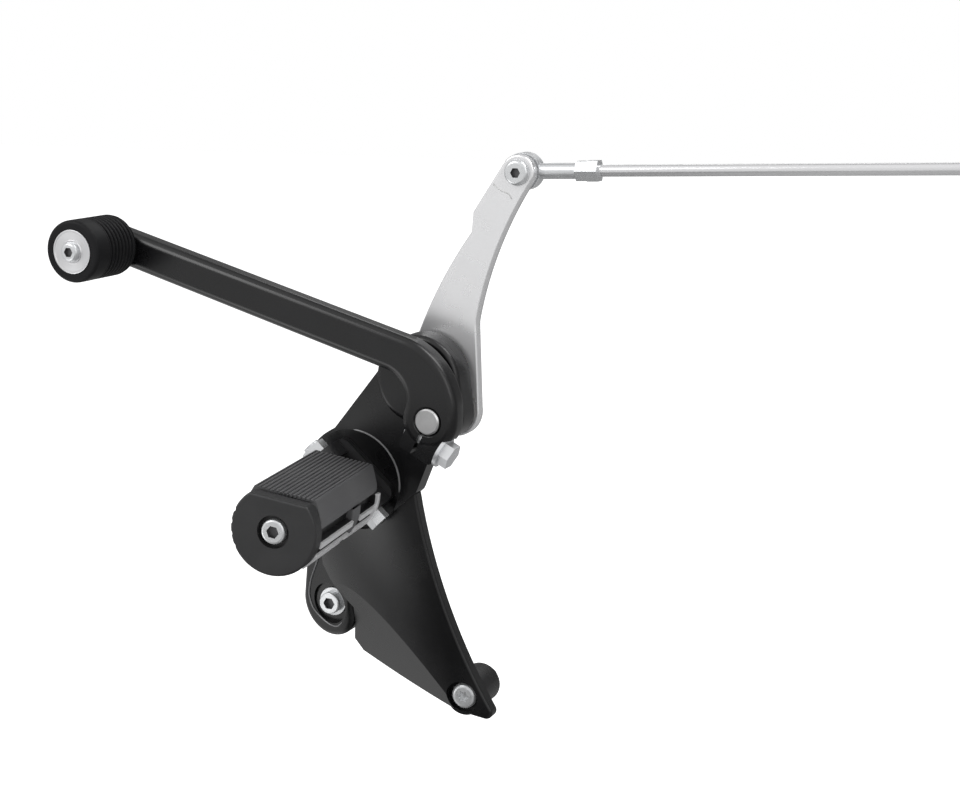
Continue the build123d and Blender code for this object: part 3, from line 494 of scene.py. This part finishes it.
@dataclass
class Wardrobe:
    """Holds the finished materials and puts them on pieces."""

    materials: dict[Slot, bpy.types.Material]
    cast: bpy.types.Material
    rim_highlight: bpy.types.Material
    socket_shade: bpy.types.Material

    @classmethod
    def build(cls) -> "Wardrobe":
        """Builds every finish once."""
        effects = Effects.build()
        made = {slot: finish.material(effects) for slot, finish in FINISHES.items()}
        return cls(made, *(finish.material(effects) for finish in (CAST_ALLOY, RIM_HIGHLIGHT, SOCKET_SHADE)))

    def dress(self, piece: bpy.types.Object, slot: Slot, body: str, *stands_for: str,
              material: bpy.types.Material | None = None) -> None:
        """Gives a new piece its finish and its body.

        Args:
            piece: the new object.
            slot: the record's material slot.
            body: the CAD body that it moves with.
            stands_for: CAD nodes that it is shown in place of.
            material: a finish of its own within the slot.
        """
        piece.data.materials.append(material or self.materials[slot])
        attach(piece, body)
        if stands_for:
            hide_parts(*stands_for)
        LOG.info("%s rides on %s with %d faces", piece.name, body, len(piece.data.polygons))

    def soften(self, node: bpy.types.Object, width: float) -> None:
        """Rounds the sharp edges of a CAD node, so that they catch the light.

        Args:
            node: the CAD node, whose own mesh stays as it is.
            width: reach of the rounding in millimetres.
        """
        weld = node.modifiers.new("join_edges", "WELD")
        weld.merge_threshold = WELD_REACH * MM
        bevel = node.modifiers.new("soft_edges", "BEVEL")
        bevel.width, bevel.segments = width * MM, 2
        bevel.limit_method, bevel.angle_limit = "ANGLE", radians(SHARP_ANGLE)
        bevel.use_clamp_overlap = True
        bevel.harden_normals = True

    def dress_nodes(self, nodes: dict[str, bpy.types.Object], subparts: list[dict]) -> None:
        """Puts the finishes on the CAD nodes, as the record names them."""
        for entry in subparts:
            node = nodes[entry["node"]]
            material = self.cast if entry["node"] == "peg_core" else self.materials[Slot(entry["material_slot"])]
            for place in node.material_slots:
                place.material = material
            LOG.info("%s has %s", entry["node"], entry["material_slot"])


@dataclass
class Footpeg:
    """Folding footpeg: the ribbed rubber pad and its strap round the barrel. Sizes are in millimetres."""

    sweep: float = 7.0
    roll: float = 10.0
    near: float = 11.0
    far: float = 93.3
    undercut: float = 4.0
    seat: float = 4.0
    top: float = 19.0
    top_width: float = 34.6
    side_width: float = 43.8
    side_height: float = 7.7
    top_round: float = 1.2
    side_round: float = 1.6
    seat_round: float = 0.5
    rib_count: int = 14
    rib_pitch: float = 2.45
    rib_deep: float = 0.9
    groove_half: float = 0.42
    end_rounding: float = 0.5
    strap_at: float = 38.0
    strap_width: float = 11.5
    strap_radius: float = 23.4
    strap_floor: float = 18.8
    strap_round: float = 1.0

    def axis(self) -> Axes:
        """Frame of the peg, with z along it and x rolled with the pad."""
        s, r = radians(self.sweep), radians(self.roll)
        across = np.array([cos(s), sin(s), 0]) * cos(r) - np.array([0, 0, 1.0]) * sin(r)
        return Axes(PEG_PIN, tuple(across), (sin(s), -cos(s), 0))

    def outline(self) -> np.ndarray:
        """Closed section of the pad, with each rib's groove cut as a rounded notch.

        The top is at y = top - deep g(x), with g = 1 / (1 + (a / w)^6), a the distance from the nearest groove's
        middle and w half of the groove's width.

        Returns:
            Array of x and y.
        """
        half, wide = self.top_width / 2, self.side_width / 2
        x = np.linspace(-half + self.top_round, half - self.top_round, 30 * self.rib_count)
        first = -self.rib_pitch * (self.rib_count - 1) / 2
        away = np.abs(((x - first + self.rib_pitch / 2) % self.rib_pitch) - self.rib_pitch / 2)
        groove = 1 / (1 + (away / self.groove_half) ** 6)
        ribs = np.stack([x, self.top - self.rib_deep * groove], axis=-1)
        left = rounded([(0, self.seat, 0), (-wide, self.seat, self.seat_round),
                        (-wide, self.side_height, self.side_round), (-half, self.top, self.top_round),
                        (-half + self.top_round, self.top, 0)], 7)
        right = left[::-1] * [-1, 1]
        return np.concatenate([left[:-1], ribs, right[1:-1]])

    def build_pad(self) -> bpy.types.Object:
        """Carries the section along the peg. Near each end it shrinks by the rounding, then closes on its middle.

        The far end's face leans back under the pad by the undercut, which leaves a dark gap above the cap.

        Returns:
            The pad.
        """
        outline = self.outline()
        middle = np.array([0.0, (self.seat + self.top) / 2])
        e = self.end_rounding
        t = np.linspace(0, np.pi / 2, 5)
        near = np.stack([self.near + e * (1 - np.cos(t)), e * (1 - np.sin(t))], axis=-1)
        far = np.stack([self.far - e * (1 - np.cos(t)), e * (1 - np.sin(t))], axis=-1)[::-1]
        stations = np.concatenate([near, far])
        inward = (middle - outline) / np.linalg.norm(middle - outline, axis=1, keepdims=True)
        rings = outline + inward * stations[:, 1, None, None]
        rows = np.concatenate([rings, np.broadcast_to(stations[:, 0, None, None], (*rings.shape[:2], 1))], axis=-1)
        close = np.broadcast_to(np.array([*middle, 0.0]), (1, len(outline), 3)).copy()
        first, last = close.copy(), close.copy()
        first[..., 2], last[..., 2] = self.near, self.far - self.undercut
        grid = np.concatenate([first, rows, last])
        return sheet_mesh("peg_pad", self.axis().place(grid), Sense.AROUND, crease=40)

    def build_strap(self) -> bpy.types.Object:
        """Strap under the barrel: a rounded oblong section carried along an arc from one seat edge to the other.

        Returns:
            The strap.
        """
        w, low, high, r = self.strap_width, self.strap_floor, self.strap_radius, self.strap_round
        section = rounded([(0, low + 1, 0), (0, high, r), (w, high, r), (w, low + 1, 0)], 6)
        section = np.concatenate([section, [[w, low], [0, low]]])
        lift = np.arcsin(self.seat / high)
        turn = np.linspace(np.pi - lift, 2 * np.pi + lift, 90)[:, None]
        radius, height = section[None, :, 1], section[None, :, 0]
        grid = np.stack([radius * np.cos(turn), radius * np.sin(turn), self.strap_at + height + 0 * turn], axis=-1)
        return sheet_mesh("peg_strap", self.axis().place(grid), Sense.AROUND, crease=40)

    def build(self, wardrobe: Wardrobe) -> None:
        """Builds the pad and strap in place of the plain one."""
        wardrobe.dress(self.build_pad(), Slot.PEG_RUBBER, "footpeg", "peg_rubber")
        wardrobe.dress(self.build_strap(), Slot.PEG_RUBBER, "footpeg")


@dataclass
class ToePeg:
    """Ringed rubber and turned end cap of the toe peg. Sizes are in millimetres."""

    start: float = 59.0
    length: float = 37.0
    radius: float = 17.5
    bore: float = 8.02
    cap_radius: float = 12.32
    cap_deep: float = 4.0
    cap_thick: float = 4.4
    rings: int = 7
    pitch: float = 3.2
    deep: float = 1.7
    notch_half: float = 0.62
    screw_bore: float = 3.06
    face_start: float = 7.0
    face_sunk: float = 0.22
    mark_step: float = 0.42
    mark_deep: float = 0.014

    def build(self, wardrobe: Wardrobe) -> None:
        """Turns the rubber and the cap.

        Along the rings the radius is r - deep g, with g = 1 / (1 + (a / w)^5), a the distance from the nearest
        notch's middle and w half of its width.
        """
        h = np.linspace(0.6, self.pitch * (self.rings + 1) - 0.4, 26 * (self.rings + 1))
        away = np.abs(((h + self.pitch * 0.35) % self.pitch) - self.pitch / 2)
        notch = 1 / (1 + (away / self.notch_half) ** 5)
        ringed = np.stack([self.radius - self.deep * notch, h], axis=-1)
        end = self.length
        head = rounded([(self.radius, h[-1] + 0.3, 0), (self.radius, end, 2.4), (self.cap_radius, end, 0.8),
                        (self.cap_radius, end - self.cap_deep, 0), (self.bore, end - self.cap_deep, 0)], 8)
        foot = np.array([[self.bore, 0.0], [self.radius - 1.2, 0.0], [self.radius - 0.4, 0.25]])
        profile = np.concatenate([foot, ringed, head, [[self.bore, 0.0]]])
        rubber = turned("toe_rubber_ringed", side(TOE_PEG, self.start), profile, steps=120)
        wardrobe.dress(rubber, Slot.TOE_RUBBER, "shifter", "toe_peg_rubber")
        self.build_cap(wardrobe)

    def build_cap(self, wardrobe: Wardrobe) -> None:
        """Turns the end cap: a raised ring round the screw, a dished face with fine turning marks and a broken edge.

        On the face the height is top - sunk + deep cos(2 pi r / step), which leaves one fine ring each step.
        """
        top, r, bore = self.cap_thick, self.cap_radius - 0.02, self.screw_bore
        face = np.linspace(self.face_start, r - 1.3, 90)
        height = top - self.face_sunk + self.mark_deep * np.cos(2 * np.pi * face / self.mark_step)
        marks = np.stack([face, height], axis=-1)
        inner = [[bore, 0.0], [bore, top + 0.1], [5.7, top + 0.1], [5.9, top + 0.3], [6.4, top + 0.3],
                 [6.7, top - 0.15]]
        outer = [[r - 1.1, top - 0.2], [r - 0.95, top - 0.04], [r - 0.4, top], [r - 0.1, top - 0.1], [r, top - 0.4],
                 [r, 0.0], [bore, 0.0]]
        cap = turned("toe_cap_turned", side(TOE_PEG, self.start + self.length - self.cap_deep),
                     np.concatenate([inner, marks, outer]))
        wardrobe.dress(cap, Slot.MACHINED_ALLOY, "shifter", "toe_peg_cap")


@dataclass(frozen=True)
class Thread:
    """One screw thread: where it starts, its sizes and what it moves with."""

    name: str
    axes: Axes
    root: float
    crest: float
    length: float
    body: str

    def build(self, wardrobe: Wardrobe) -> None:
        """Builds the thread over the plain end of its screw."""
        wardrobe.dress(helix(self.name, self.axes, self.root, self.crest, self.length), Slot.ZINC, self.body)


@dataclass(frozen=True)
class HighlightBead:
    """Thin bright bead along an edge of the casting: a painted highlight where the edge catches the light. Sizes are
    in millimetres.
    """

    name: str
    points: np.ndarray
    facing: tuple[float, float, float]
    radius: float = 0.5

    def build(self, wardrobe: Wardrobe) -> None:
        """Carries a circle along the line: each point is line + r (f cos t + g sin t), with r fading at both ends.

        The fade is the square root of 6 sin(pi s), held at 1, for s from 0 to 1 along the line.
        """
        line = smooth_line(self.points)
        ahead = np.gradient(line, axis=0)
        ahead /= np.linalg.norm(ahead, axis=1, keepdims=True)
        across = np.cross(ahead, np.array(self.facing))
        across /= np.linalg.norm(across, axis=1, keepdims=True)
        facing = np.cross(across, ahead)
        s = np.linspace(0, 1, len(line))
        radius = self.radius * np.clip(np.sqrt(np.clip(np.sin(np.pi * s) * 6, 0, 1)), 0.02, 1)
        turn = np.linspace(0, 2 * np.pi, 10, endpoint=False)
        ring = facing[:, None] * np.cos(turn)[None, :, None] + across[:, None] * np.sin(turn)[None, :, None]
        grid = (line[:, None] + ring * radius[:, None, None]) * MM
        bead = sheet_mesh(self.name, grid, Sense.AROUND, crease=80)
        # The bead's bright finish paints the edge's highlight.
        wardrobe.dress(bead, Slot.GLOSS_BLACK, "bracket", material=wardrobe.rim_highlight)


def highlight_beads() -> list[HighlightBead]:
    """The beads of painted highlight: the front lobe's rim and the rim of the clevis's round seat.

    The seat's rim is where a round of radius r about the peg's line meets the neck's face: at angle t it lies
    r (x cos t + z sin t) off the line, and as far along the line as brings its y to that face.

    Returns:
        The edges to build.
    """
    lobe = np.array([(-101.0, -11.5, 66.2), (-104.7, -9.6, 59.0), (-108.5, -7.6, 51.0), (-110.8, -6.1, 43.2),
                     (-110.5, -5.7, 37.5), (-107.8, -6.0, 31.9), (-102.3, -7.3, 27.8), (-95.3, -9.3, 24.9),
                     (-89.2, -11.3, 25.1), (-84.8, -13.0, 28.8)])
    turn = np.radians(np.linspace(88, -8, 14))[:, None]
    radius, face = 29.6, -36.2
    along, across = np.array(PEG_LINE), np.array(PEG_ACROSS)
    seat = np.array(PEG_PIN) + radius * (across * np.cos(turn) + np.array([0, 0, 1.0]) * np.sin(turn))
    seat = seat + along * ((face - seat[:, 1:2]) / along[1])
    return [HighlightBead("front_lobe_rim_highlight", lobe, facing=(-0.303, -0.949, -0.091)),
            HighlightBead("clevis_seat_rim_highlight", seat, facing=(0.0, -1.0, 0.0), radius=0.6)]


@dataclass(frozen=True)
class Socket:
    """Dark lining of a screw's hexagon socket, which paints the shade inside it. Sizes are in millimetres."""

    name: str
    axes: Axes
    across: float
    depth: float
    body: str
    side_gap: float = 0.04
    lip: float = 0.1
    floor_gap: float = 0.05
    dish: float = 0.01

    def build(self, wardrobe: Wardrobe) -> None:
        """Builds six walls and a dished floor. A socket a across has its corners a / sqrt 3 from the middle."""
        corner = (self.across - 2 * self.side_gap) / np.sqrt(3)
        turn = np.radians(np.arange(0, 360, 60))
        floor = self.floor_gap - self.depth
        wall = [(corner, -self.lip), (corner, floor), (corner * 0.8, floor - self.dish), (0.0, floor - 2 * self.dish)]
        grid = np.array([[(r * cos(t), r * sin(t), h) for t in turn] for r, h in wall])
        lining = sheet_mesh(self.name, self.axes.place(grid), Sense.AROUND, crease=20)
        lining.data.flip_normals()
        # The dark lining paints the shade in the socket.
        wardrobe.dress(lining, Slot.ZINC, self.body, material=wardrobe.socket_shade)


def sockets() -> list[Socket]:
    """The socket linings of painted shade, each from its screw's own face.

    Returns:
        The linings to build.
    """
    shaft_x, shaft_z = SHIFT_SHAFT
    arm_screw_face = Axes((shaft_x, -11.5, shaft_z), (1, 0, 0), (0, 1, 0))
    return [
        Socket("peg_end_socket", Footpeg().axis().along(103.5), across=6.0, depth=2.7, body="footpeg"),
        Socket("toe_peg_socket", side(TOE_PEG, 99.4), across=5.0, depth=2.1, body="shifter"),
        Socket("stud_socket", side(ARM_EYE, 25.2), across=5.0, depth=2.24, body="shifter"),
        Socket("front_screw_socket", side(FRONT_SCREW, 11.6), across=6.5, depth=3.0, body="bracket"),
        Socket("arm_screw_socket", arm_screw_face, across=5.2, depth=2.04, body="shifter"),
    ]


@dataclass
class ArmStep:
    """Low forging step across the linkage arm's face, below its eye, in a darker steel finish that paints the shade
    line along it. Sizes are in millimetres.
    """

    out: float = 22.0
    width: float = 1.1
    height: float = 0.22
    sunk: float = 0.02
    points: tuple[tuple[float, float], ...] = (
        (16.9, 292.6), (18.3, 290.4), (22.0, 288.6), (25.2, 287.0), (27.3, 284.0))

    def build(self, wardrobe: Wardrobe) -> None:
        """Builds the ridge: its height is h sin(pi u) sqrt(sin(pi s)), for u across it and s along its curve."""
        knots = np.array(self.points)
        s = np.linspace(0, 1, 60)
        at = np.linspace(0, 1, len(knots))
        fits = [np.polynomial.Polynomial.fit(at, knots[:, i], 4) for i in (0, 1)]
        line = np.stack([fit(s) for fit in fits], axis=-1)
        ahead = np.gradient(line, axis=0)
        across = np.stack([-ahead[:, 1], ahead[:, 0]], axis=-1) / np.linalg.norm(ahead, axis=1, keepdims=True)
        u = np.linspace(0, 1, 9)
        flat = line[:, None] + across[:, None] * (u - 0.5)[None, :, None] * self.width
        lift = self.height * np.sin(np.pi * u)[None] * np.sqrt(np.sin(np.pi * s))[:, None]
        grid = np.stack([flat[..., 0], -self.out - lift + self.sunk, flat[..., 1]], axis=-1) * MM
        # The darker ground-steel finish paints the shade line along the step.
        wardrobe.dress(sheet_mesh("arm_step", grid, Sense.OPEN, crease=80), Slot.SHAFT_STEEL, "shifter")


def threads() -> list[Thread]:
    """The threads of the two frame screws, the stud, the fold pin and the clevis stem.

    Returns:
        The threads to build.
    """
    fold_pin = Axes(PEG_PIN, PEG_LINE, FOLD_LINE)
    stem = Footpeg().axis()
    return [
        Thread("rear_screw_thread", side(REAR_SCREW, -14.0), root=3.55, crest=4.0, length=13.6, body="bracket"),
        Thread("front_screw_thread", side(FRONT_SCREW, -14.0), root=3.55, crest=4.0, length=13.6, body="bracket"),
        Thread("stud_thread", side(ARM_EYE, -1.5), root=3.95, crest=4.2, length=1.5, body="shifter"),
        Thread("stem_thread", stem.along(-39.0), root=5.95, crest=6.2, length=1.0, body="bracket"),
        Thread("fold_pin_thread", fold_pin.along(28.5), root=4.7, crest=4.95, length=1.5, body="bracket"),
    ]


@dataclass(frozen=True)
class Fade:
    """A soft change along x (0) or y (1) of the floor, from one share of the light to another, in metres."""

    along: int
    start: float
    stop: float
    first: float
    last: float


@dataclass(frozen=True)
class Card:
    """A bright patch of the floor that only gloss sees, like a card laid beside the part in a studio."""

    level: float
    fades: tuple[Fade, ...]

    def wire(self, net: Nodes, spot: bpy.types.Node) -> bpy.types.NodeSocket:
        """Multiplies the card's level by each of its fades.

        Args:
            net: nodes of the floor's material.
            spot: node whose outputs are the floor's x and y.

        Returns:
            The card's light at each point of the floor.
        """
        shares = [net.spread(spot.outputs[fade.along], fade.start, fade.stop, fade.first, fade.last)
                  for fade in self.fades]
        return reduce(lambda light, share: net.math("MULTIPLY", light, share), shares, self.level)


@dataclass(frozen=True)
class Lamp:
    """A soft lamp: where it stands and its two sides in metres, and its power in watts."""

    name: str
    place: tuple[float, float, float]
    sides: tuple[float, float]
    power: float


# What gloss sees: the floor's and the world's plain level, the bright card in front to the left, the low card beside
# the bracket, the far floor in front, and the floor behind and to the right
SKY = 0.75
CARDS = (
    Card(2.7, (Fade(0, -0.46, -0.26, 1.0, 0.0), Fade(1, -1.1, -0.75, 0.0, 1.0), Fade(1, -0.46, -0.26, 1.0, 0.3),
               Fade(0, -0.95, -0.6, 0.35, 1.0))),
    Card(0.7, (Fade(0, -0.16, -0.08, 1.0, 0.0), Fade(1, -0.3, -0.2, 0.0, 1.0), Fade(1, 0.06, 0.16, 1.0, 0.0),
               Fade(0, -0.6, -0.45, 0.0, 1.0))),
    Card(1.0, (Fade(1, -1.3, -1.02, SKY, 0.02),)),
    Card(1.0, (Fade(0, -0.1, 0.06, 0.0, 0.3),)),
    Card(1.0, (Fade(1, 0.1, 0.4, 0.0, 0.3),)),
)
LAMPS = (
    Lamp("key", (-0.9, -1.1, 1.2), (0.9, 0.9), 9.0),
    Lamp("fill", (1.4, -1.0, 0.9), (0.8, 1.2), 3.5),
    Lamp("back", (0.1, 1.3, 1.3), (1.6, 0.5), 4.0),
)


@dataclass(frozen=True)
class Studio:
    """Floor, light and camera. Places are in metres."""

    floor_level: float = -0.16
    floor_reach: float = 6.0
    floor_light: float = 0.62
    floor_gloss_share: float = 0.04
    surface_light: float = 0.75
    strip_towards: tuple[float, float, float] = (0.5, 0.2, 0.84)
    strip_level: float = 5.0
    lamps_towards: tuple[float, float, float] = (0.0, -0.03, 0.14)
    camera_at: tuple[float, float, float] = (0.405, -0.912, 0.373)
    camera_towards: tuple[float, float, float] = (-0.3983, 0.8945, -0.2028)
    camera_lens: float = 67.5
    camera_sensor: float = 36.0

    def build_floor(self) -> None:
        """Pale floor that a camera sees as near white, with the shadow kept, and gloss as dark with bright cards."""
        reach = np.linspace(-self.floor_reach, self.floor_reach, 2)
        x, y = np.meshgrid(reach, reach)
        floor = sheet_mesh("floor", np.stack([x, y, np.full_like(x, self.floor_level)], axis=-1), Sense.OPEN)
        made = bpy.data.materials.new("pale floor")
        made.use_nodes = True
        net = Nodes(made.node_tree)
        shader = made.node_tree.nodes["Principled BSDF"]
        place = net.add("ShaderNodeTexCoord").outputs["Object"]
        path = net.add("ShaderNodeLightPath")
        shade = net.math("MULTIPLY", net.spread(net.noise(place, 3.0), 0.3, 0.7, 0.84, 0.88),
                         net.spread(path.outputs["Is Glossy Ray"], 0.0, 1.0, 1.0, self.floor_gloss_share))
        tone = net.add("ShaderNodeCombineColor", {0: shade, 1: shade, 2: shade}).outputs[0]
        net.tree.links.new(tone, shader.inputs["Base Color"])
        shader.inputs["Roughness"].default_value = 0.9
        shader.inputs["Specular IOR Level"].default_value = 0.0
        shader.inputs["Emission Color"].default_value = (1, 1, 1, 1)
        spot = net.add("ShaderNodeSeparateXYZ", {0: place})
        cards = net.highest(*(card.wire(net, spot) for card in CARDS))
        glossy = net.math("MULTIPLY", path.outputs["Is Glossy Ray"], cards)
        seen = net.highest(path.outputs["Is Camera Ray"], path.outputs["Is Transmission Ray"])
        level = net.math("ADD", net.math("MULTIPLY", seen, self.floor_light), glossy)
        net.tree.links.new(level, shader.inputs["Emission Strength"])
        floor.data.materials.append(made)

    def build_world(self) -> None:
        """World: white to the camera, a soft studio with a bright strip to gloss, and a plain light on surfaces."""
        world = bpy.data.worlds.new("studio")
        bpy.context.scene.world = world
        world.use_nodes = True
        net = Nodes(world.node_tree)
        background = world.node_tree.nodes["Background"]
        towards = net.add("ShaderNodeTexCoord").outputs["Generated"]
        heading = net.add("ShaderNodeSeparateXYZ", {0: towards})
        front = net.spread(heading.outputs[1], -0.1, 0.45, 1.0, 0.32)
        high = net.spread(heading.outputs[2], 0.0, 0.8, SKY, 0.95)
        strip = net.add("ShaderNodeVectorMath", {0: towards, 1: self.strip_towards},
                        operation="DOT_PRODUCT").outputs["Value"]
        gloss = net.math("ADD", net.math("MULTIPLY", front, high),
                         net.spread(strip, 0.93, 0.98, 0.0, self.strip_level))
        path = net.add("ShaderNodeLightPath")
        level = net.highest(path.outputs["Is Camera Ray"], path.outputs["Is Transmission Ray"],
                            net.math("MULTIPLY", path.outputs["Is Glossy Ray"], gloss),
                            net.math("MULTIPLY", path.outputs["Is Diffuse Ray"], self.surface_light))
        background.inputs["Color"].default_value = (1, 1, 1, 1)
        world.node_tree.links.new(level, background.inputs["Strength"])

    def build_lamps(self) -> None:
        """Soft lamps, each turned towards the middle of the part."""
        for lamp in LAMPS:
            light = bpy.data.lights.new(lamp.name, "AREA")
            light.shape = "RECTANGLE"
            light.size, light.size_y = lamp.sides
            light.energy = lamp.power
            stand = bpy.data.objects.new(lamp.name, light)
            stand.location = lamp.place
            towards = Vector(self.lamps_towards) - Vector(lamp.place)
            stand.rotation_euler = towards.to_track_quat("-Z", "Y").to_euler()
            bpy.context.scene.collection.objects.link(stand)

    def build_camera(self) -> None:
        """Camera at the photograph's viewing angle."""
        data = bpy.data.cameras.new("camera")
        data.lens, data.sensor_width = self.camera_lens, self.camera_sensor
        data.clip_start, data.clip_end = 0.01, 50.0
        camera = bpy.data.objects.new("camera", data)
        camera.location = self.camera_at
        camera.rotation_euler = Vector(self.camera_towards).to_track_quat("-Z", "Y").to_euler()
        bpy.context.scene.collection.objects.link(camera)
        bpy.context.scene.camera = camera

    def build(self) -> None:
        """Builds the whole studio."""
        self.build_floor()
        self.build_world()
        self.build_lamps()
        self.build_camera()
        bpy.context.scene.view_settings.view_transform = "Standard"


def main() -> None:
    """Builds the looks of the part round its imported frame."""
    logging.basicConfig(level=logging.INFO, format="%(name)s: %(message)s")
    wardrobe = Wardrobe.build()
    wardrobe.dress_nodes(frame["nodes"], frame["record"]["subparts"])
    for name, width in SOFT_EDGES.items():
        wardrobe.soften(frame["nodes"][name], width)
    Footpeg().build(wardrobe)
    ToePeg().build(wardrobe)
    ArmStep().build(wardrobe)
    for small_piece in (*highlight_beads(), *sockets(), *threads()):
        small_piece.build(wardrobe)
    Studio().build()


if __name__ == "__main__":
    main()
